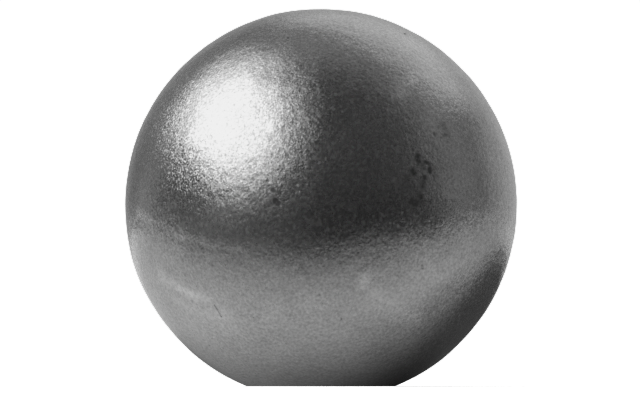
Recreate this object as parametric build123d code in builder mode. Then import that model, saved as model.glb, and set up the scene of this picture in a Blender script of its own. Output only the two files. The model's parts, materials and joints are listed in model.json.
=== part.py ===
from build123d import *
from math import sqrt
import os

# A hollow ball of bare iron, of the kind that caps the end of a tube or a post.
# It is formed from one thick sheet, drawn to a cup and then closed in to a ball, so it
# has no seam, and its only opening is the mouth underneath. The edge of the sheet round
# the mouth is bored to slip over a tube and dressed flat, and the ball stands on it.
#
# Sizes are in millimetres. The origin is the middle of the mouth, in the plane that the
# ball stands on, and +Z points up through the crown.

# Driving dimensions
ball_diameter = 80.0  # across the outside
wall = 3.0  # thickness of the iron, the same all round
tube_diameter = 26.9  # outside of the tube that the mouth slips over
tube_clearance = 0.15  # gap all round that tube
foot_width = 1.6  # flat ring round the bore, before its two edges are broken
foot_edge_radius = 2.0  # outer edge of the foot, eased into the ball
mouth_chamfer = 0.4  # lead-in at the lower end of the bore
burr_radius = 0.4  # edge that the bore leaves inside, with its burr taken off

# What follows from them
ball_radius = ball_diameter / 2
hollow_radius = ball_radius - wall
mouth_radius = tube_diameter / 2 + tube_clearance
foot_radius = mouth_radius + foot_width
centre_height = sqrt(ball_radius**2 - foot_radius**2)
bore_height = centre_height - sqrt(hollow_radius**2 - mouth_radius**2)

with BuildPart() as hollow_ball:
    # Section through one side of the wall: from the crown down the outside, inwards
    # under the foot, up the bore, and back to the crown along the inside
    with BuildSketch(Plane.XZ) as wall_section:
        with BuildLine():
            outside = ThreePointArc(
                (0, centre_height + ball_radius),
                (ball_radius, centre_height),
                (foot_radius, 0),
            )
            foot = Line(outside @ 1, (mouth_radius, 0))
            bore = Line(foot @ 1, (mouth_radius, bore_height))
            inside = ThreePointArc(
                bore @ 1,
                (hollow_radius, centre_height),
                (0, centre_height + hollow_radius),
            )
            Line(inside @ 1, outside @ 0)
        make_face()

        # The three edges of the mouth are broken: the foot's outer edge is eased into
        # the ball, its inner edge leads the tube in, and the burr above the bore is gone
        corner_at = wall_section.vertices().sort_by_distance
        fillet(corner_at(foot @ 0)[0], radius=foot_edge_radius)
        corner_at = wall_section.vertices().sort_by_distance
        chamfer(corner_at(foot @ 1)[0], length=mouth_chamfer)
        corner_at = wall_section.vertices().sort_by_distance
        fillet(corner_at(bore @ 1)[0], radius=burr_radius)
    revolve(axis=Axis.Z)

hollow_ball.part.label = "hollow_ball"

os.makedirs("parts", exist_ok=True)
export_step(hollow_ball.part, "parts/hollow_ball.step")

print("height", round(hollow_ball.part.bounding_box().size.Z, 2))
print("volume of iron", round(hollow_ball.part.volume), "cubic millimetres")
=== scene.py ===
# %% [markdown]
# A hollow iron ball
#
# The real thing is a ball of sheet iron, 80 mm across, of the kind that closes the end of a
# tube or crowns a post. A thick disc of iron is drawn to a cup and closed in to a ball, which
# leaves a round mouth underneath, and the edge of that mouth is dressed flat so that the ball
# can stand. Then it is tumbled with grit until the scale is off. Nothing is painted on it, so
# all that the eye gets is the shape, the grain that the tumbling left, and what it mirrors.
#
# The imported part comes first. It is the frame that all of this is built around, and its box
# is kept for the ball's sizes.

# %% Load the imported part
import json
import random
from math import atan2, cos, degrees, hypot, pi, radians, sin, sqrt, tan

import bpy
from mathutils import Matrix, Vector, noise
from mathutils.geometry import intersect_point_line
from mathutils.kdtree import KDTree


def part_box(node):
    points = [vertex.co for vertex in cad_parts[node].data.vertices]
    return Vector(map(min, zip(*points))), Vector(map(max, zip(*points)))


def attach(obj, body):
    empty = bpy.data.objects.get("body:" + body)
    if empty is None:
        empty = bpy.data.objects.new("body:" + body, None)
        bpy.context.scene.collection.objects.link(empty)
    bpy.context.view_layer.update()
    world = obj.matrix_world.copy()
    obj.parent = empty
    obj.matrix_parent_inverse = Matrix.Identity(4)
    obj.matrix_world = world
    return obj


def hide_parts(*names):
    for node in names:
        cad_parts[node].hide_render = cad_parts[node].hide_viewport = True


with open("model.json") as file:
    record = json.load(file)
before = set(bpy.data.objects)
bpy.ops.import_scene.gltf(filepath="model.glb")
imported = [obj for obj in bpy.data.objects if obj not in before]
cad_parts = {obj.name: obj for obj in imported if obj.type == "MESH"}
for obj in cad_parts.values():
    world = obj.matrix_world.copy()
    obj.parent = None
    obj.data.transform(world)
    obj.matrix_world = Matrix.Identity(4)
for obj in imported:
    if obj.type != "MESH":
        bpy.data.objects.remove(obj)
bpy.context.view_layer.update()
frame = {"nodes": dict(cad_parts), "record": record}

MM = 0.001

# %% [markdown]
# Sizes
#
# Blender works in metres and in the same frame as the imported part, so most sizes are read
# from it: the height and width from its box, the bore from its mount, and the radius of the
# hollow from the innermost points of its mesh. Only the small roundings are named here.

# %% Sizes of the ball
low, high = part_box("hollow_ball")
ball_radius = (high.x - low.x) / 2
centre = Vector((0, 0, high.z - ball_radius))
shell_points = [point.co for point in frame["nodes"]["hollow_ball"].data.vertices]
hollow_radius = min((point - centre).length for point in shell_points)
mouth = next(mount for mount in frame["record"]["mounts"] if mount["name"] == "mouth")
bore_radius = mouth["dims"]["r_mm"] * MM

foot_edge = 2.0 * MM  # rounding of the foot's outer edge into the ball
lead_in = 0.4 * MM  # chamfer at the lower end of the bore
burr = 0.4 * MM  # rounding at the upper end of the bore

print(f"ball {ball_radius * 2 / MM:.2f} mm across, wall {(ball_radius - hollow_radius) / MM:.2f} mm")

# %% [markdown]
# The camera
#
# In the photograph the ball fills the frame and the flat under it is one straight line, so
# the camera stood far off, with its lens hardly above the table. A long lens gives that. The
# ball's outline in the picture is a circle, and its middle and radius in pixels, with the
# ball's real radius, give the focal length and the point to aim at. The camera comes early,
# because marks are later placed on the ball by the pixel where they show.

# %% Camera
picture_width, picture_height = 640, 400
ball_x, ball_y, ball_pixels = 320.9, 204.8, 196.4  # the ball's outline in the photograph
camera_distance = 800 * MM
lens_height = 2.0 * MM
sensor_width = 36.0  # in mm, as Blender's focal length is

focal_pixels = ball_pixels * sqrt(camera_distance**2 - ball_radius**2) / ball_radius
pixel = camera_distance / focal_pixels  # what one pixel spans at the ball
aim = centre + Vector((picture_width / 2 - ball_x, 0, ball_y - picture_height / 2)) * pixel

bpy.ops.object.select_all(action="DESELECT")
bpy.ops.object.camera_add(location=(0, -camera_distance, lens_height))
camera = bpy.context.object
camera.data.sensor_width = sensor_width
camera.data.lens = focal_pixels * sensor_width / picture_width
camera.rotation_euler = (aim - camera.location).to_track_quat("-Z", "Y").to_euler()
bpy.context.scene.camera = camera
print(f"lens {camera.data.lens:.0f} mm, one pixel is {pixel / MM:.3f} mm on the ball")


def seen_at(x, y):
    """Direction from the ball's middle to the point of its surface that shows at a pixel."""
    view = (aim - camera.location).normalized()
    right = view.cross(Vector((0, 0, 1))).normalized()
    up = right.cross(view)
    ray = view + (right * (x - picture_width / 2) + up * (picture_height / 2 - y)) / focal_pixels
    ray.normalize()
    to_ball = centre - camera.location
    along = to_ball.dot(ray)
    depth = sqrt(max(ball_radius**2 - (to_ball.length_squared - along**2), 0))
    return (camera.location + ray * (along - depth) - centre).normalized()


# %% [markdown]
# The skin of the ball
#
# Blender's own sphere has two poles where its faces shrink to slivers, and dents or grain
# would crowd together there. A cube that is cut into a fine grid and blown up to a ball has
# faces of much the same size all over. Blowing it up plainly would leave small faces at the
# cube's corners, so each grid line is first moved by the tangent rule that map makers use.
#
# The cube's six sides also make a good layout for a texture map, so they get their places
# on the map while they are still six simple squares, two rows of three. The lowest third of
# the map stays free for the inside and the rim.

# %% A ball out of a cube
map_name = "OFBake"  # the export keeps a piece's own map if it has this name
map_gap = 0.02  # what stays free round a square of the map, as a share of its side
skin_face = 0.58 * MM  # how wide a face is
skin_square = 1 / 3  # how much of the map's width each of the six sides gets


def only(thing):
    """Selects one object and nothing else, so that the next operator acts on it alone."""
    bpy.ops.object.select_all(action="DESELECT")
    thing.select_set(True)
    bpy.context.view_layer.objects.active = thing


def cube_ball(name, radius, face_width, map_corner, map_side):
    """A ball of even square faces, its six sides laid out in two rows of three on the map."""
    bpy.ops.object.select_all(action="DESELECT")
    bpy.ops.mesh.primitive_cube_add(size=2)
    ball = bpy.context.object
    ball.name = name
    layer = ball.data.uv_layers[0]
    layer.name = map_name
    left, bottom = map_corner
    gap = map_gap * map_side
    square = [(0, 0), (1, 0), (1, 1), (0, 1)]
    for side in ball.data.polygons:
        row, column = divmod(side.index, 3)
        for corner, (u, v) in zip(side.loop_indices, square):
            layer.data[corner].uv = (
                left + column * map_side + gap + u * (map_side - 2 * gap),
                bottom + row * map_side + gap + v * (map_side - 2 * gap),
            )
    faces_along = round(radius * pi / 2 / face_width)
    bpy.ops.object.mode_set(mode="EDIT")
    bpy.ops.mesh.subdivide(number_cuts=faces_along - 1)
    bpy.ops.object.mode_set(mode="OBJECT")
    for point in ball.data.vertices:
        evened = Vector([tan(part * pi / 4) for part in point.co])
        point.co = centre + evened.normalized() * radius
    return ball


skin = cube_ball("hollow_ball_skin", ball_radius, skin_face, (0, skin_square), skin_square)
print(f"the skin has {len(skin.data.polygons)} faces")

# %% [markdown]
# Marks of use
#
# The ball has been knocked about a little. On the side that is photographed there are a few
# pits, one scratch, a group of dark stains, patches that were rubbed paler, and patches that
# the grit left coarser. A few of the stain and rub strokes are painted shade and painted
# reflection instead: darker and paler strokes along the edge where the mirrored table meets
# the mirrored room, which make that edge sharper. Marks like these could be painted on an
# image, but an image only has the detail it was drawn with, and this part should stay sharp
# from close by. So each mark is a short stroke with a width, from one point of the surface to
# another, and where the photograph shows it, those points are named by their pixels. The
# other sides have marks of the same kinds, strewn by a seeded random draw, so that they come
# out the same in every run.

# %% Where the marks are
#         from pixel   to pixel    width and depth in mm
pits_seen = [
    ((276, 201), (278, 203), 2.5, 0.05),
    ((274, 190), (274, 191), 1.1, 0.02),
    ((422, 266), (423, 268), 0.8, 0.02),
    ((214, 305), (221, 317), 0.7, 0.03),
]
#         from pixel   to pixel    width in mm and how dark
stains_and_painted_shade_seen = [
    ((418, 157), (419, 161), 2.7, 0.9),
    ((413, 170), (414, 173), 2.2, 0.95),
    ((425, 161), (429, 164), 1.9, 0.75),
    ((430, 169), (430, 172), 1.9, 0.9),
    ((424, 176), (425, 181), 2.3, 0.85),
    ((423, 184), (423, 187), 1.8, 0.8),
    ((408, 184), (409, 184), 2.0, 0.6),
    ((412, 202), (417, 203), 3.0, 1.0),
    ((420, 196), (421, 198), 2.0, 0.85),
    ((427, 210), (427, 214), 1.6, 0.55),
    ((420, 158), (426, 176), 6.0, 0.42),
    ((424, 180), (418, 200), 5.5, 0.4),
    ((437, 125), (439, 127), 1.8, 0.5),
    ((435, 134), (435, 135), 1.5, 0.75),
    ((442, 137), (446, 134), 2.0, 0.5),
    ((443, 125), (449, 137), 6.0, 0.38),
    ((413, 149), (413, 151), 1.2, 0.55),
    ((473, 161), (474, 161), 1.1, 0.7),
    ((288, 37), (288, 38), 1.2, 0.75),
    ((405, 33), (405, 34), 1.2, 0.75),
    ((339, 292), (339, 293), 1.1, 0.5),
    ((319, 294), (319, 295), 1.2, 0.5),
    ((341, 318), (341, 319), 1.1, 0.5),
    ((286, 314), (294, 316), 3.6, 0.34),
    ((482, 166), (478, 186), 8.0, 0.3),
    ((273, 190), (274, 191), 1.6, 1.0),
    ((271, 197), (277, 202), 3.8, 0.5),
    ((422, 266), (422, 268), 1.2, 0.8),
    ((217, 309), (221, 317), 0.9, 0.5),
    # painted shade, not stains: darker strokes just above the edge where the mirrored table meets the
    # mirrored room
    ((194, 227), (214, 232), 2.6, 0.46),
    ((224, 234), (246, 239), 2.8, 0.46),
    ((256, 240), (272, 246), 2.6, 0.4),
]
#         from pixel   to pixel    width in mm and how bright
rubs_and_painted_reflection_seen = [
    ((162, 277), (206, 300), 7.5, 0.55),
    ((178, 288), (198, 298), 5.5, 0.7),
    ((178, 302), (226, 318), 10.0, 0.42),
    ((364, 276), (364, 286), 4.5, 0.62),
    # painted reflection, not rubs: paler strokes just under the edge where the mirrored table meets
    # the mirrored room
    ((138, 212), (186, 237), 4.2, 0.75),
    ((186, 237), (244, 250), 3.4, 0.6),
    ((374, 292), (416, 318), 9.0, 0.4),
    ((398, 96), (414, 76), 7.0, 0.55),
]
#         from pixel   to pixel    width in mm and how coarse
coarse_seen = [
    ((168, 100), (174, 200), 22.0, 1.0),
    ((160, 275), (220, 318), 12.0, 0.7),
    ((375, 288), (418, 318), 12.0, 0.6),
]


front_limit, foot_limit = -0.1, -0.75  # strewn marks stay behind the one and above the other


def seen_marks(marks):
    """Marks given by pixels, as strokes between two points of the surface."""
    strokes = []
    for start, end, width, amount in marks:
        ends = [centre + seen_at(*spot) * ball_radius for spot in (start, end)]
        strokes.append((*ends, width * MM, amount))
    return strokes


def strewn_marks(draw, number, widths, amounts, longest):
    """Marks of the same kinds for the sides that the photograph doesn't show."""
    strokes = []
    while len(strokes) < number:
        away = Vector([draw.gauss(0, 1) for axis in range(3)]).normalized()
        if away.y < front_limit or away.z < foot_limit:
            continue
        along = away.cross(Vector([draw.gauss(0, 1) for axis in range(3)])).normalized()
        start = centre + away * ball_radius
        end = start + along * draw.uniform(0, longest) * MM
        strokes.append((start, end, draw.uniform(*widths) * MM, draw.uniform(*amounts)))
    return strokes


draw = random.Random(11)
pits = seen_marks(pits_seen)
pits += strewn_marks(draw, number=12, widths=(0.7, 1.8), amounts=(0.03, 0.09), longest=0.6)
pits += strewn_marks(draw, number=4, widths=(0.4, 0.6), amounts=(0.03, 0.06), longest=6.0)
stains_and_painted_shade = seen_marks(stains_and_painted_shade_seen)
stains_and_painted_shade += strewn_marks(draw, number=26, widths=(1.0, 2.2), amounts=(0.6, 1.0), longest=2.0)
stains_and_painted_shade += strewn_marks(draw, number=6, widths=(3.5, 6.0), amounts=(0.3, 0.42), longest=6.0)
rubs_and_painted_reflection = seen_marks(rubs_and_painted_reflection_seen)
rubs_and_painted_reflection += strewn_marks(draw, number=7, widths=(3.0, 7.0), amounts=(0.3, 0.7), longest=9.0)
coarse_patches = seen_marks(coarse_seen)
coarse_patches += strewn_marks(draw, number=4, widths=(14.0, 24.0), amounts=(0.5, 1.0), longest=20.0)
print(f"{len(pits)} pits and scratches, {len(stains_and_painted_shade)} stains, {len(rubs_and_painted_reflection)} rubbed patches")

# %% [markdown]
# Finer faces where the marks are
#
# A pit is narrower than the faces of the skin, so pressing it in would only move one or two
# points. Making the whole ball finer would cost a million faces for a few small marks. So
# only the faces round each mark are subdivided, and because the points that this adds lie on
# flat faces, they are lifted on to the ball afterwards.

# %% Finer faces round the marks
def points_near(tree, stroke, margin):
    """Index of each point of a search tree that lies under a stroke, and how deep, 0 to 1."""
    start, end, width = stroke[:3]
    reach = (end - start).length / 2 + width / 2 + margin
    found = []
    for place, index, distance in tree.find_range((start + end) / 2, reach):
        nearest, part = intersect_point_line(place, start, end) if start != end else (start, 0)
        if not 0 < part < 1:
            nearest = start if part <= 0 else end
        inside = 1 - max((place - nearest).length - margin, 0) / (width / 2)
        if inside > 0:
            found.append((index, min(inside, 1)))
    return found


def search_tree(places):
    """A search tree that finds the places near a point quickly."""
    tree = KDTree(len(places))
    for index, place in enumerate(places):
        tree.insert(place, index)
    tree.balance()
    return tree


def cut_finer(strokes, cuts, margin):
    """Subdivides the faces under some strokes, and lifts all points back on to the ball."""
    only(skin)
    tree = search_tree([side.center for side in skin.data.polygons])
    marked = {index for stroke in strokes for index, depth in points_near(tree, stroke, margin)}
    bpy.ops.object.mode_set(mode="EDIT")
    bpy.ops.mesh.select_mode(type="FACE")
    bpy.ops.mesh.select_all(action="DESELECT")
    bpy.ops.object.mode_set(mode="OBJECT")
    for index in marked:
        skin.data.polygons[index].select = True
    bpy.ops.object.mode_set(mode="EDIT")
    bpy.ops.mesh.subdivide(number_cuts=cuts)
    bpy.ops.object.mode_set(mode="OBJECT")
    for point in skin.data.vertices:
        point.co = centre + (point.co - centre).normalized() * ball_radius


cut_finer(pits + stains_and_painted_shade, cuts=2, margin=0.4 * MM)
cut_finer(pits, cuts=1, margin=0.15 * MM)
print(f"the skin has {len(skin.data.polygons)} faces")

# %% [markdown]
# The mouth
#
# The ball is cut level where the rounding of the foot begins, and the open ring is then
# pulled inwards step by step, as a smith would see it in section: round the edge of the
# foot, across the flat, up the chamfer, up the bore and over the eased edge at its top.
# Each step is one extrusion, scaled and moved to the next point of that section.

# %% Section of the rim
edge_centre = Vector((sqrt((ball_radius - foot_edge) ** 2 - (centre.z - foot_edge) ** 2), foot_edge))
edge_turn = atan2(edge_centre.x, centre.z - foot_edge)
burr_radius = bore_radius + burr
burr_height = centre.z - sqrt((hollow_radius + burr) ** 2 - burr_radius**2)
burr_turn = atan2(burr_radius, centre.z - burr_height)
arc_steps = 5  # faces along each rounding

section = []
for step in range(arc_steps + 1):
    turn = edge_turn * (1 - step / arc_steps)
    section.append((edge_centre.x + foot_edge * sin(turn), foot_edge * (1 - cos(turn))))
section.append((bore_radius + lead_in, 0))
section.append((bore_radius, lead_in))
for step in range(arc_steps + 1):
    turn = pi / 2 - (pi / 2 - burr_turn) * step / arc_steps
    section.append((burr_radius - burr * sin(turn), burr_height + burr * cos(turn)))
print(f"the foot is a ring {edge_centre.x * 2 / MM:.1f} mm across outside")

# %% Cut the ball open and pull the rim inwards
cut_radius, cut_height = section[0]
sliver = 0.12 * MM  # points of the cut that are closer together than this are merged

only(skin)
bpy.ops.object.mode_set(mode="EDIT")
bpy.ops.mesh.select_mode(type="VERT")
bpy.ops.mesh.select_all(action="SELECT")
bpy.ops.mesh.bisect(plane_co=(0, 0, cut_height), plane_no=(0, 0, 1), clear_inner=True)
bpy.ops.mesh.remove_doubles(threshold=sliver)
bpy.ops.object.mode_set(mode="OBJECT")
for point in skin.data.vertices:
    if point.select:
        outwards = Vector((point.co.x, point.co.y, 0)).normalized()
        point.co = outwards * cut_radius + Vector((0, 0, cut_height))
bpy.ops.object.mode_set(mode="EDIT")
for (radius, height), (next_radius, next_height) in zip(section, section[1:]):
    bpy.ops.mesh.extrude_region()
    smaller = next_radius / radius
    bpy.ops.transform.resize(value=(smaller, smaller, 1), center_override=(0, 0, height))
    bpy.ops.transform.translate(value=(0, 0, next_height - height))
bpy.ops.object.mode_set(mode="OBJECT")
print(f"the rim is {len(section) - 1} rings of faces, up to {next_height / MM:.2f} mm inside")

# %% [markdown]
# The relief of the iron
#
# Sheet that was drawn to a ball is never quite true: its thickness and its curve wander a
# little over a finger's width, and closer to it is covered with shallow lumps and hollows
# of two or three millimetres. Reflections make even a hundredth of a millimetre of this
# show, so it is in the mesh. Two Displace modifiers move the points by a cloud pattern, and
# a vertex group holds the foot still, so that the ball stands flat and the mouth is round.

# %% Swellings and lumps
still_height, free_height = 1.5 * MM, 6.0 * MM  # below the first nothing moves, above all does
free_skin = "free_skin"

only(skin)
free = skin.vertex_groups.new(name=free_skin)
for point in skin.data.vertices:
    part = (point.co.z - still_height) / (free_height - still_height)
    free.add([point.index], min(max(part, 0), 1), "REPLACE")


def swell(name, size, height):
    """Moves the skin in and out by a cloud pattern with lumps of one size."""
    clouds = bpy.data.textures.new(name, "CLOUDS")
    clouds.noise_scale = size
    clouds.noise_depth = 1
    bpy.ops.object.modifier_add(type="DISPLACE")
    modifier = skin.modifiers[-1]
    modifier.texture = clouds
    modifier.texture_coords = "LOCAL"
    modifier.strength = height
    modifier.vertex_group = free_skin
    bpy.ops.object.modifier_apply(modifier=modifier.name)


swell("swellings", size=14 * MM, height=0.30 * MM)
swell("lumps", size=2.4 * MM, height=0.08 * MM)
skin.vertex_groups.clear()
loose = [point.co for point in skin.data.vertices if point.co.z > free_height]
swollen = [(place - centre).length - ball_radius for place in loose]
print(f"the outside wanders from {min(swollen) / MM:.2f} to {max(swollen) / MM:.2f} mm")

# %% [markdown]
# Pits are pressed in point by point: each point under a stroke goes in towards the middle
# of the ball, deepest under the middle of the stroke, and a little noise keeps the bowl
# from being a perfect one. The depth and the stains are also written on the points, as
# attributes that the finish reads, because dirt gathers in a pit and a stain has no shape.

# %% Press in the pits, paint the stains
places = search_tree([point.co.copy() for point in skin.data.vertices])
bowl_lumps, bowl_unevenness = 0.45 * MM, 0.5  # width and strength of the noise in a pit
full_of_dirt = 0.05  # depth in mm at which a pit keeps all its dirt


def paint(name, strokes, press=False):
    """Writes how far each point is under the strokes, and can press the skin in there."""
    values = [0.0] * len(skin.data.vertices)
    for stroke in strokes:
        amount = stroke[3]
        for index, depth in points_near(places, stroke, margin=0):
            value = depth * amount
            if press:
                point = skin.data.vertices[index]
                bowl = depth * depth * (3 - 2 * depth)
                uneven = 1 + bowl_unevenness * noise.noise(point.co / bowl_lumps)
                point.co += (centre - point.co).normalized() * amount * MM * bowl * uneven
                value = bowl * min(amount / full_of_dirt, 1)
            values[index] = max(values[index], value)
    layer = skin.data.attributes.new(name, "FLOAT", "POINT")
    layer.data.foreach_set("value", values)


paint("pit", pits, press=True)
# the stains and rubs written here include painted shade and painted reflection along the edge of the
# mirrored table
paint("stain_and_painted_shade", stains_and_painted_shade)
paint("rub_and_painted_reflection", rubs_and_painted_reflection)
paint("coarse", coarse_patches)
lowest = min((point.co - centre).length for point in skin.data.vertices if point.co.z > free_height)
print(f"the deepest point of the outside is {(ball_radius - lowest) / MM:.2f} mm in from the ball")

# %% [markdown]
# The hollow
#
# Inside, the wall is as thick as the sheet everywhere, so the hollow is a second, smaller
# ball of coarser faces. It is cut open a little above the bore, joined to the skin, and the
# two open rings are bridged. The skin is then one closed sheet of iron, and its normals are
# worked out once, so that they point out of the metal on both sides of the wall.

# %% The inside wall
hollow_face, hollow_square = 1.6 * MM, 1 / 6
bore_top = section[-1][1]
inside_cut = bore_top + 0.5 * MM
crease_angle = radians(35)  # edges that are sharper than this stay sharp

hollow = cube_ball("hollow_ball_inside", hollow_radius, hollow_face, (0, 0), hollow_square)
only(hollow)
bpy.ops.object.mode_set(mode="EDIT")
bpy.ops.mesh.select_all(action="SELECT")
bpy.ops.mesh.bisect(plane_co=(0, 0, inside_cut), plane_no=(0, 0, 1), clear_inner=True)
bpy.ops.object.mode_set(mode="OBJECT")

only(skin)
hollow.select_set(True)
bpy.ops.object.join()
ball = bpy.context.object
bpy.ops.object.mode_set(mode="EDIT")
bpy.ops.mesh.select_mode(type="EDGE")
bpy.ops.mesh.select_all(action="DESELECT")
bpy.ops.mesh.select_non_manifold()
bpy.ops.mesh.bridge_edge_loops()
bpy.ops.mesh.select_all(action="SELECT")
bpy.ops.mesh.normals_make_consistent(inside=False)
bpy.ops.object.mode_set(mode="OBJECT")
ball.name = "iron_ball"
only(ball)
bpy.ops.object.shade_smooth_by_angle(angle=crease_angle)
print(f"the whole ball has {len(ball.data.polygons)} faces")

# %% [markdown]
# Three finishes on one sheet
#
# The tumbled outside, the dressed rim and the scaly inside are one piece of iron with three
# surfaces, so the faces are sorted into three by place. The rim's faces were pulled out of
# an edge and have no room on the map yet. They are a band, so they are unrolled: across the
# map goes the angle round the mouth, and up it the steps of the section.

# %% Sort the faces and unroll the rim
tumbled, turned, scaled = range(3)
hair = 0.05 * MM  # how far off a face may lie and still count as in its place
strip_left, strip_width, strip_height = 0.52, 0.45, 0.3  # the rim's place on the map
map_layer = ball.data.uv_layers[map_name]
rings = section + [(sqrt(hollow_radius**2 - (centre.z - inside_cut) ** 2), inside_cut)]


def unroll(side):
    """Gives the corners of a rim face their places in the strip, all on one side of its seam."""
    turns = []
    for index in side.vertices:
        point = ball.data.vertices[index].co
        turns.append(atan2(point.y, point.x) / (2 * pi) + 0.5)
    if max(turns) - min(turns) > 0.5:
        turns = [turn + 1 if turn < 0.5 else turn for turn in turns]
    for index, corner, turn in zip(side.vertices, side.loop_indices, turns):
        point = ball.data.vertices[index].co
        gaps = [hypot(hypot(point.x, point.y) - radius, point.z - height) for radius, height in rings]
        ring = gaps.index(min(gaps))
        map_layer.data[corner].uv = (
            strip_left + strip_width * turn,
            strip_height * (ring + 0.5) / len(rings),
        )


for side in ball.data.polygons:
    corners = [ball.data.vertices[index].co for index in side.vertices]
    widest = max(hypot(corner.x, corner.y) for corner in corners)
    highest = max(corner.z for corner in corners)
    if highest < inside_cut + hair and widest < cut_radius + hair:
        side.material_index = scaled if highest > bore_top + hair else turned
        unroll(side)
    elif (side.center - centre).length < hollow_radius + hair:
        side.material_index = scaled

kinds = [side.material_index for side in ball.data.polygons]
print("faces tumbled, turned and scaled:", [kinds.count(kind) for kind in (tumbled, turned, scaled)])

# %% [markdown]
# Nodes and colours
#
# In Blender a finish is a graph of small nodes. Three helpers keep the next cells short. One
# turns a colour from the hex digits of a screen colour to the linear values in which light
# adds up. One adds a node with its settings, and sets its inputs or links them to other
# nodes. One starts an empty material. Inputs go by their names, except on the nodes that have
# several of one name. A Mix node has a pair for each kind of value: 2 and 3 are its numbers,
# and 6 and 7 are its colours.

# %% Nodes and colours
def linear(text):
    """A colour written as six hex digits, turned to the linear values that shaders use."""
    parts = [int(text[start:start + 2], 16) / 255 for start in (1, 3, 5)]
    return tuple(c / 12.92 if c <= 0.04045 else ((c + 0.055) / 1.055) ** 2.4 for c in parts) + (1,)


def add(tree, kind, inputs=(), **settings):
    """Adds one node, with its settings, and sets or links its inputs."""
    new = tree.nodes.new("ShaderNode" + kind)
    for name, value in settings.items():
        setattr(new, name, value)
    for socket, value in dict(inputs).items():
        if isinstance(value, bpy.types.NodeSocket):
            tree.links.new(value, new.inputs[socket])
        else:
            new.inputs[socket].default_value = value
    return new


def blank(name):
    """A material with an empty node tree."""
    material = bpy.data.materials.new(name)
    material.use_nodes = True
    material.node_tree.nodes.clear()
    return material, material.node_tree


print("a middle grey of bare iron is", [round(part, 3) for part in linear("#A8A8A8")[:3]])

# %% [markdown]
# Tumbled bare iron: the grain
#
# The outside is bare mild steel that was drawn to shape and then tumbled with grit. That
# gives the eye a soft metal shine: a lamp shows as a wide glow round a bright core, and where
# the light changes fastest, the glow breaks up into fine glitter. An even roughness would
# only give the glow. So the grain is drawn as real slopes, which turn the normal, and each
# grain then catches the lamp or misses it.
#
# Three layers do this. Dimples of about a millimetre come from the drawn sheet, and the grit
# leaves a grain on top of them, both as bumps. Real grit marks are 0.1 to 0.2 mm wide, which
# is less than a pixel here, so the grain is drawn twice as coarse as that. The finest slopes,
# those of single facets, are added straight to the normal, with a strength that is greater
# where the "coarse" attribute says that the grit bit deeper.

# %% Grain of the tumbled iron
dimple_width, dimple_depth = 1.1 * MM, 0.06 * MM
grain_width, grain_depth = 0.36 * MM, 0.03 * MM  # drawn coarser than real grit marks, to show
smooth_facets, coarse_facets = 0.26, 0.7  # how far single facets turn the normal

tumbled_iron, tree = blank("tumbled_bare_iron")
place = add(tree, "TexCoord").outputs["Object"]
dimples = add(tree, "TexNoise", {"Vector": place, "Scale": 1 / dimple_width, "Detail": 1.0})
grain = add(tree, "TexNoise", {"Vector": place, "Scale": 1 / grain_width, "Detail": 1.0})
bump = add(tree, "Bump", {
    "Height": dimples.outputs["Fac"], "Distance": dimple_depth}).outputs["Normal"]
bump = add(tree, "Bump", {
    "Height": grain.outputs["Fac"], "Distance": grain_depth, "Normal": bump}).outputs["Normal"]

coarse = add(tree, "Attribute", attribute_name="coarse").outputs["Fac"]
slope = add(tree, "MapRange", {
    "Value": coarse, "To Min": smooth_facets, "To Max": coarse_facets}).outputs["Result"]
facets = add(tree, "VectorMath", {
    0: grain.outputs["Color"], 1: (0.5, 0.5, 0.5)}, operation="SUBTRACT").outputs["Vector"]
facets = add(tree, "VectorMath", {0: facets, "Scale": slope}, operation="SCALE").outputs["Vector"]
tilted = add(tree, "VectorMath", {0: bump, 1: facets}, operation="ADD").outputs["Vector"]
normal = add(tree, "VectorMath", {0: tilted}, operation="NORMALIZE").outputs["Vector"]
print(f"grain of {grain_width / MM:.2f} mm is {grain_width / pixel:.1f} pixels of the photograph")

# %% [markdown]
# Tumbled bare iron: the marks and the colour
#
# Bare iron is a slightly uneven grey, paler where it was rubbed and darker where a stain or
# the dirt in a pit covers it. The rubbed and stained greys also serve as painted reflection and
# painted shade: paler and darker strokes along the edge of the mirrored table. Each painted
# attribute is multiplied by a noise before it is cut off, so that a mark is mottled inside and
# ragged at its edge, as real ones are, and not the neat stroke that it was painted with. A
# stain and dirt are also duller than the metal, so they raise the roughness too. Without that
# they would flash in the light of the lamp.

# %% Marks of the tumbled iron
mottle_width = 0.7 * MM
mottle_strength, mottle_shift = 2.4, -0.2  # turn a noise round 0.5 to one round 1

uneven = add(tree, "TexNoise", {"Vector": place, "Scale": 1 / mottle_width, "Detail": 3.0})
mottled = add(tree, "Math", {
    0: uneven.outputs["Fac"], 1: mottle_strength, 2: mottle_shift},
    operation="MULTIPLY_ADD").outputs["Value"]


def patch(attribute, starts, full):
    """A painted mark, broken up by noise: it starts to show at one value, and is full at another."""
    painted = add(tree, "Attribute", attribute_name=attribute).outputs["Fac"]
    broken = add(tree, "Math", {0: mottled, 1: painted}, operation="MULTIPLY").outputs["Value"]
    return add(tree, "MapRange", {"Value": broken, "From Min": starts, "From Max": full},
        interpolation_type="SMOOTHSTEP").outputs["Result"]


# the stain and rub masks also hold painted shade and painted reflection along the edge of the mirrored
# table
stain_and_painted_shade = patch("stain_and_painted_shade", starts=0.15, full=0.75)
rub_and_painted_reflection = patch("rub_and_painted_reflection", starts=0.1, full=0.9)
dirt = patch("pit", starts=0.15, full=0.8)
print("marks read from", [node.attribute_name for node in tree.nodes if node.type == "ATTRIBUTE"])

# %% Colour and shine of the tumbled iron
speckle_width, cloud_width, fleck_width = 0.55 * MM, 8 * MM, 0.7 * MM
cloud_share = 0.3  # how much of the uneven grey is clouds, the rest being speckle
darkest, palest = 0.3, 0.7  # values of the noise that get the darkest and the palest grey
fleck_start, fleck_full = 0.5, 0.75  # values of the noise where a duller fleck starts and is full

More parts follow.
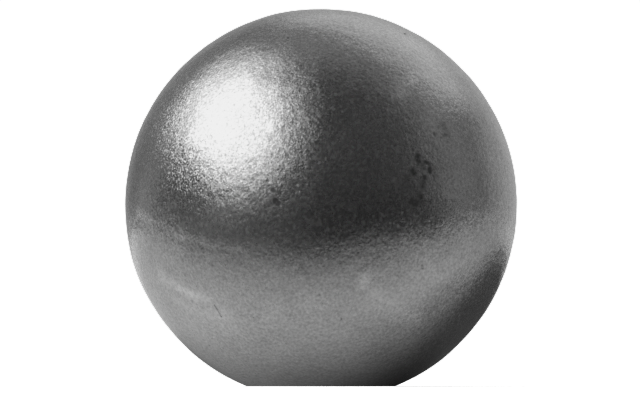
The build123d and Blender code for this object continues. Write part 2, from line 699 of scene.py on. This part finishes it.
dark_iron, pale_iron = linear("#949494"), linear("#BCBCBC")
# the rubbed grey also serves as painted reflection, and the stained grey as painted shade, along the
# edge of the mirrored table
rubbed_iron_and_painted_reflection, stained_iron_and_painted_shade, dirty_iron = linear("#D0D0D0"), linear("#626262"), linear("#5A5A5A")
rough_iron, rough_fleck, rough_stain, rough_dirt = 0.25, 0.36, 0.5, 0.6

speckle = add(tree, "TexNoise", {"Vector": place, "Scale": 1 / speckle_width, "Detail": 1.0})
clouds = add(tree, "TexNoise", {"Vector": place, "Scale": 1 / cloud_width, "Detail": 3.0})
blend = add(tree, "Mix", {
    "Factor": cloud_share, 2: speckle.outputs["Fac"], 3: clouds.outputs["Fac"]}).outputs[0]
paleness = add(tree, "MapRange", {"Value": blend, "From Min": darkest, "From Max": palest})
colour = add(tree, "Mix", {
    "Factor": paleness.outputs["Result"], 6: dark_iron, 7: pale_iron}, data_type="RGBA").outputs[2]
for mark, marked_iron in ((rub_and_painted_reflection, rubbed_iron_and_painted_reflection), (stain_and_painted_shade, stained_iron_and_painted_shade), (dirt, dirty_iron)):
    colour = add(tree, "Mix", {
        "Factor": mark, 6: colour, 7: marked_iron}, data_type="RGBA").outputs[2]

flecks = add(tree, "TexNoise", {"Vector": place, "Scale": 1 / fleck_width, "Detail": 1.0})
rough = add(tree, "MapRange", {
    "Value": flecks.outputs["Fac"], "From Min": fleck_start, "From Max": fleck_full,
    "To Min": rough_iron, "To Max": rough_fleck}).outputs["Result"]
for mark, duller in ((stain_and_painted_shade, rough_stain), (dirt, rough_dirt)):
    rough = add(tree, "Mix", {"Factor": mark, 2: rough, 3: duller}).outputs[0]

shader = add(tree, "BsdfPrincipled", {
    "Base Color": colour, "Metallic": 1.0, "Roughness": rough, "Normal": normal})
add(tree, "OutputMaterial", {"Surface": shader.outputs["BSDF"]})
print(f"{tumbled_iron.name} has {len(tree.nodes)} nodes")

# %% [markdown]
# Turned bare iron
#
# The edge of the mouth was dressed flat with a tool while the ball turned, so it is brighter
# than the rest and has fine rings round the mouth. To the eye they stretch every highlight
# across the rim. The rings could be a picture on the rim's map, but a noise that runs along
# one line only is simpler: the line is the distance from the ball's axis, less the height, so
# it also counts up the bore.

# %% Turned bare iron
ring_spacing, ring_depth = 0.12 * MM, 0.02 * MM
groove_iron, ridge_iron = linear("#9C9C9C"), linear("#CACACA")

turned_iron, tree = blank("turned_bare_iron")
place = add(tree, "TexCoord").outputs["Object"]
spread = add(tree, "SeparateXYZ", {"Vector": place}).outputs
level_place = add(tree, "CombineXYZ", {"X": spread["X"], "Y": spread["Y"]}).outputs["Vector"]
from_axis = add(tree, "VectorMath", {0: level_place}, operation="LENGTH").outputs["Value"]
across = add(tree, "Math", {0: from_axis, 1: spread["Z"]}, operation="SUBTRACT").outputs["Value"]
rings_cut = add(tree, "TexNoise", {
    "W": across, "Scale": 1 / ring_spacing, "Detail": 2.0},
    noise_dimensions="1D").outputs["Fac"]
bump = add(tree, "Bump", {"Height": rings_cut, "Distance": ring_depth}).outputs["Normal"]
colour = add(tree, "Mix", {
    "Factor": rings_cut, 6: groove_iron, 7: ridge_iron}, data_type="RGBA").outputs[2]
shader = add(tree, "BsdfPrincipled", {
    "Base Color": colour, "Metallic": 1.0, "Roughness": 0.3, "Normal": bump})
add(tree, "OutputMaterial", {"Surface": shader.outputs["BSDF"]})
print(f"{turned_iron.name} has rings {ring_spacing / MM:.2f} mm apart")

# %% [markdown]
# Mill scale
#
# Nothing reaches the inside once the ball is closed in, so it keeps the skin of oxide that hot
# rolling left on the sheet. To the eye that is a dull blue-black crust, slightly blistered,
# which has flaked away to dull iron here and there. Oxide is no metal to look at and iron is,
# so one noise chooses between the two, for the colour and for how metallic it is.

# %% Mill scale
flake_width, blister_width, blister_height = 5 * MM, 0.8 * MM, 0.12 * MM
oxide, dull_iron = linear("#353638"), linear("#6A6866")
flake_start, flake_full = 0.55, 0.62  # values of the noise where the scale thins and is gone
flaked_metallic = 0.9  # a film of oxide is left even where the scale has gone

mill_scale, tree = blank("mill_scaled_iron")
place = add(tree, "TexCoord").outputs["Object"]
flakes = add(tree, "TexNoise", {"Vector": place, "Scale": 1 / flake_width, "Detail": 5.0})
blisters = add(tree, "TexNoise", {"Vector": place, "Scale": 1 / blister_width, "Detail": 3.0})
bump = add(tree, "Bump", {
    "Height": blisters.outputs["Fac"], "Distance": blister_height}).outputs["Normal"]
gone = add(tree, "MapRange", {
    "Value": flakes.outputs["Fac"], "From Min": flake_start, "From Max": flake_full}).outputs["Result"]
colour = add(tree, "Mix", {"Factor": gone, 6: oxide, 7: dull_iron}, data_type="RGBA").outputs[2]
metallic = add(tree, "MapRange", {"Value": gone, "To Max": flaked_metallic}).outputs["Result"]
shader = add(tree, "BsdfPrincipled", {
    "Base Color": colour, "Metallic": metallic, "Roughness": 0.55, "Normal": bump})
add(tree, "OutputMaterial", {"Surface": shader.outputs["BSDF"]})

for finish in (tumbled_iron, turned_iron, mill_scale):
    ball.data.materials.append(finish)
print("finishes on the ball:", [finish.name for finish in ball.data.materials])

# %% [markdown]
# Floor
#
# The ball stands on white paper that is lit until it is as pale as the backdrop, so that in
# the photograph the two can't be told apart. The floor is a plain wide disc. It lies a hair
# below the foot, because two surfaces at the same height flicker. Paper is matt, so its shine
# is turned off, and it glows a little, as thin paper does over a lit table, which keeps the
# ball's shadow as faint as it is in the photograph. The shine of the ball doesn't see it: a
# later step gives the shine a table top of its own, whose light can be set apart.

# %% Floor
floor_gap, floor_radius = 0.02 * MM, 4.0
paper_white, paper_glow = linear("#F3F3F3"), 0.75


def seen_only_by(thing, *rays):
    """Leaves an object or lamp visible to some kinds of ray alone."""
    for kind in ("camera", "diffuse", "glossy", "transmission", "shadow"):
        if hasattr(thing, "visible_" + kind):
            setattr(thing, "visible_" + kind, kind in rays)


def disc(name, radius, location=(0, 0, 0)):
    """A flat round sheet, as a start for the floor, the table top and the cards."""
    bpy.ops.object.select_all(action="DESELECT")
    bpy.ops.mesh.primitive_circle_add(vertices=96, radius=radius, fill_type="NGON", location=location)
    sheet = bpy.context.object
    sheet.name = name
    return sheet


paper, tree = blank("pale_paper")
shader = add(tree, "BsdfPrincipled", {
    "Base Color": paper_white, "Roughness": 0.9, "Specular IOR Level": 0.0,
    "Emission Color": linear("#FFFFFF"), "Emission Strength": paper_glow})
add(tree, "OutputMaterial", {"Surface": shader.outputs["BSDF"]})
floor = disc("floor", floor_radius, (0, 0, -floor_gap))
floor.data.materials.append(paper)
seen_only_by(floor, "camera", "diffuse", "shadow")
print(f"the floor lies {floor_gap / MM:.2f} mm under the foot")

# %% [markdown]
# What the ball mirrors
#
# A metal has no colour of its own to show, only what it mirrors, so most of its look is made
# around it. In the photograph one large softbox shines from the upper left, a pale card stands
# high behind on the right, a small one stands low behind on the left, and the lower half of
# the ball mirrors the table. Area lamps would do, but a lamp's glow has one brightness all
# over. So each light is a sheet that glows by a pattern of its own, bright in the middle and
# fading at its edge, and only the shine of the ball sees it. One pattern makes them all: an
# oval pool, with one value inside and another outside.

# %% Pools of light
def toward(azimuth, elevation):
    """Unit direction: azimuth 0 is straight behind the ball, 90 to its right."""
    a, e = radians(azimuth), radians(elevation)
    return Vector((sin(a) * cos(e), cos(a) * cos(e), sin(e)))


def on_oval(tree, middle, width, height, turn):
    """Places on a sheet, scaled so that the edge of an oval on it is 1 from the oval's middle."""
    return add(tree, "Mapping", {
        "Vector": add(tree, "TexCoord").outputs["Object"],
        "Location": (*middle, 0),
        "Rotation": (0, 0, radians(turn)),
        "Scale": (width / 2, height / 2, 1),
    }, vector_type="TEXTURE").outputs["Vector"]


def pool(tree, oval, edge, inside, outside):
    """One value inside an oval and another outside it, with a soft edge between them."""
    out = add(tree, "VectorMath", {0: on_oval(tree, **oval)}, operation="LENGTH").outputs["Value"]
    return add(tree, "MapRange", {
        "Value": out, "From Min": 1.0, "From Max": 1 - edge,
        "To Min": outside, "To Max": inside}, interpolation_type="SMOOTHSTEP").outputs["Result"]


def past_flag(tree, oval, side, start, softness):
    """The straight edge of a flag held before a card: 0 behind the flag, 1 clear of it."""
    across = (cos(radians(side)), sin(radians(side)), 0)
    reach = add(tree, "VectorMath", {0: on_oval(tree, **oval), 1: across}, operation="DOT_PRODUCT")
    return add(tree, "MapRange", {
        "Value": reach.outputs["Value"], "From Min": start, "From Max": start + softness},
        interpolation_type="SMOOTHSTEP").outputs["Result"]


print(f"azimuth 90 and elevation 0 point to {[round(part, 3) for part in toward(90, 0)]}")

# %% Softbox and cards
def card(name, azimuth, elevation, distance, width, height, turn, radiance, edge, flag=None):
    """An oval sheet of light that only the shine of the ball sees, fading at its edge."""
    where = centre + toward(azimuth, elevation) * distance
    sheet = disc(name, max(width, height) / 2, where)
    sheet.rotation_euler = (centre - where).to_track_quat("Z", "Y").to_euler()
    glow, tree = blank(name + "_glow")
    oval = dict(middle=(0, 0), width=width, height=height, turn=turn)
    strength = pool(tree, oval, edge, inside=radiance, outside=0)
    if flag:
        strength = add(tree, "Math", {
            0: strength, 1: past_flag(tree, oval, **flag)}, operation="MULTIPLY").outputs["Value"]
    light = add(tree, "Emission", {"Strength": strength})
    clear = add(tree, "BsdfTransparent")
    both = add(tree, "AddShader", {0: light.outputs[0], 1: clear.outputs[0]})
    add(tree, "OutputMaterial", {"Surface": both.outputs[0]})
    sheet.data.materials.append(glow)
    seen_only_by(sheet, "glossy")
    print(f"{name} {width:.1f} by {height:.1f} m, {distance:.1f} m from the ball")


card("softbox", azimuth=-111.5, elevation=38.2, distance=0.7, width=1.91, height=1.30, turn=22,
    radiance=2.90, edge=1.0, flag=dict(side=96, start=-0.64, softness=0.26))
card("back_card", azimuth=31.5, elevation=49, distance=0.9, width=1.21, height=0.66, turn=-4,
    radiance=0.51, edge=0.2)
card("left_card", azimuth=-54, elevation=2, distance=1.5, width=0.60, height=0.25, turn=0,
    radiance=0.30, edge=0.8)

# %% [markdown]
# The table that shows in the ball
#
# The lower half of the ball mirrors the lit part of the table, a wide pool of light that
# reaches far behind the ball and ends a little in front of it. Its light rises towards the
# back and the left. The ball keeps the light off one long oval on the side away from the
# softbox, and off a small round place at its own foot, and the light is a little weaker at
# the two sides. Outside the pool the table is almost dark, and a little less so on the left.
# Cycles could work all this out from real lamps, but not without noise in every grain, so it
# is drawn straight on the table top.

# %% Where the table is lit
table_radius = 1.2
lit_area = dict(middle=(0.10, 0.50), width=1.24, height=1.24, turn=0)
lit_edge = 0.148
light_rise = (-0.38, 0.75, 0)  # what the light gains in each metre to the right and back
light_here = 0.63  # what it is under the ball
fade_left, fade_right = -0.23, 0.02  # outside the lit area, it fades between these two places
dim_left, dim_right = 0.17, 0.015  # and this is left of it on either side of them

near_glow = dict(middle=(-0.018, -0.06), width=0.28, height=0.28, turn=0)
long_shadow = dict(middle=(0.068, 0.149), width=0.41, height=0.206, turn=68)
shadow_end = dict(middle=(0.155, 0.34), width=0.26, height=0.20, turn=68)
foot_shadow = dict(middle=(0.007, 0.001), width=0.068, height=0.068, turn=0)
left_shade = dict(middle=(-0.16, 0.11), width=0.20, height=0.24, turn=0)
right_shade = dict(middle=(0.20, 0.11), width=0.26, height=0.44, turn=-20)

#   oval         edge  share of the light that falls in it
table_pools = [
    (near_glow, 1.0, 1.25),
    (long_shadow, 0.2, 0.11),
    (shadow_end, 0.5, 0.25),
    (foot_shadow, 1.0, 0),
    (left_shade, 1.0, 0.75),
    (right_shade, 1.0, 0.70),
]
print(f"{len(table_pools)} pools change the light of the table")

# %% Table top
table_top = disc("table_top", table_radius)
lit_paper, tree = blank("lit_paper")
flat = add(tree, "TexCoord").outputs["Object"]
rise = add(tree, "VectorMath", {0: flat, 1: light_rise}, operation="DOT_PRODUCT").outputs["Value"]
level = add(tree, "Math", {0: rise, 1: light_here}, operation="ADD").outputs["Value"]
shares = [pool(tree, lit_area, lit_edge, inside=1, outside=0)]
shares += [pool(tree, *table_pool, outside=1) for table_pool in table_pools]
for share in shares:
    level = add(tree, "Math", {0: level, 1: share}, operation="MULTIPLY").outputs["Value"]

to_the_right = add(tree, "SeparateXYZ", {"Vector": flat}).outputs["X"]
dim = add(tree, "MapRange", {
    "Value": to_the_right, "From Min": fade_left, "From Max": fade_right,
    "To Min": dim_left, "To Max": dim_right}).outputs["Result"]
around_it = pool(tree, lit_area, lit_edge, inside=0, outside=1)
dim = add(tree, "Math", {0: dim, 1: around_it}, operation="MULTIPLY").outputs["Value"]
level = add(tree, "Math", {0: level, 1: dim}, operation="ADD").outputs["Value"]
light = add(tree, "Emission", {"Strength": level})
add(tree, "OutputMaterial", {"Surface": light.outputs[0]})
table_top.data.materials.append(lit_paper)
seen_only_by(table_top, "glossy")
print(f"{lit_paper.name} has {len(tree.nodes)} nodes")

# %% [markdown]
# The room
#
# Behind the ball the camera sees a white backdrop, brighter than paper white, as a studio
# photographer lights it. The ball mirrors a much dimmer room: dark on the camera's side, with
# a paler wall to the back right. One world can't be both, but Light Path tells which kind of
# ray asks, so the camera gets the backdrop, the shine gets the room as a ramp of greys from
# one side to the other, and all else gets soft light. A wide soft sun lights the floor.

# %% The room
backdrop = 1.8  # how bright the white behind the ball is
soft_share = 0.6  # how much of that the floor gets
pale_wall = toward(azimuth=18.6, elevation=0)
#   place on the ramp, from the camera's side to the pale wall, and the grey there
room_greys = [(0.0, 0.045), (0.2, 0.045), (0.4, 0.06), (0.6, 0.29), (0.8, 0.18), (1.0, 0.60)]

world = bpy.data.worlds.new("studio")
bpy.context.scene.world = world
world.use_nodes = True
tree = world.node_tree
tree.nodes.clear()
direction = add(tree, "TexCoord").outputs["Generated"]
facing = add(tree, "VectorMath", {0: direction, 1: pale_wall}, operation="DOT_PRODUCT")
across = add(tree, "MapRange", {
    "Value": facing.outputs["Value"], "From Min": -1.0, "From Max": 1.0}).outputs["Result"]
ramp = add(tree, "ValToRGB", {"Fac": across})
greys = ramp.color_ramp.elements
for at, grey in room_greys[:-2]:
    greys.new(at)
for stop, (at, grey) in zip(greys, room_greys):
    stop.position = at
    stop.color = (grey, grey, grey, 1)
room = add(tree, "Background", {"Color": ramp.outputs["Color"]})
white = linear("#FFFFFF")
pale = add(tree, "Background", {"Color": white, "Strength": backdrop})
soft = add(tree, "Background", {"Color": white, "Strength": soft_share * backdrop})
rays = add(tree, "LightPath").outputs
seen = add(tree, "MixShader", {0: rays["Is Camera Ray"], 1: soft.outputs[0], 2: pale.outputs[0]})
around = add(tree, "MixShader", {0: rays["Is Glossy Ray"], 1: seen.outputs[0], 2: room.outputs[0]})
add(tree, "OutputWorld", {"Surface": around.outputs[0]})
print(f"the room has {len(greys)} greys, and the backdrop is {backdrop} times white")

# %% A soft sun on the floor
sun_direction = toward(azimuth=-113, elevation=44)
sun_share = 2.4  # how strong the sun is, in backdrops
sun_width = radians(50)

bpy.ops.object.select_all(action="DESELECT")
bpy.ops.object.light_add(type="SUN", rotation=sun_direction.to_track_quat("Z", "Y").to_euler())
sun = bpy.context.object
sun.name = "soft_sun"
sun.data.energy = sun_share * backdrop
sun.data.angle = sun_width
seen_only_by(sun, "diffuse", "camera", "shadow")
print(f"the sun is {sun.data.energy:.1f} strong and {degrees(sun_width):.0f} degrees wide")

# %% [markdown]
# The camera's response
#
# In the photograph the brightest part of the ball is one even pale grey, and the backdrop is
# pure white. A camera does that when its highlights are rolled off: up to a middle grey it is
# true, then it gives way, holds level, and only the very brightest light goes to white. That
# isn't in the iron or in the lamps, so it is set where it belongs, as a curve on the camera's
# picture. The points are (light that comes in, value that goes out), both on the screen's
# scale, and clamped handles keep the curve from swinging over between them.

# %% The camera's response
seen_as = [
    (0, 0), (0.35, 0.35), (0.6, 0.6), (0.72, 0.72),
    (0.84, 0.82), (0.96, 0.86), (1.4, 0.873), (1.75, 1),
]
brightest = 4  # the curve's box reaches up to this

view = bpy.context.scene.view_settings
view.view_transform = "Standard"
view.use_curve_mapping = True
response = view.curve_mapping
response.clip_max_x = brightest
response.clip_max_y = brightest
curve = response.curves[3]  # the fourth curve is the one for all three colours at once
curve.points[1].location = seen_as[-1]
for at, value in seen_as[1:-1]:
    curve.points.new(at, value)
for point in curve.points:
    point.handle_type = "AUTO_CLAMPED"
response.update()
went_through = [tuple(round(part, 2) for part in point.location) for point in curve.points]
print("the response goes through", went_through)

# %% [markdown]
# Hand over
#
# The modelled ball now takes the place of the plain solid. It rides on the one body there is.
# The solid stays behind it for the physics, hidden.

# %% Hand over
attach(ball, "root")
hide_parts("hollow_ball")
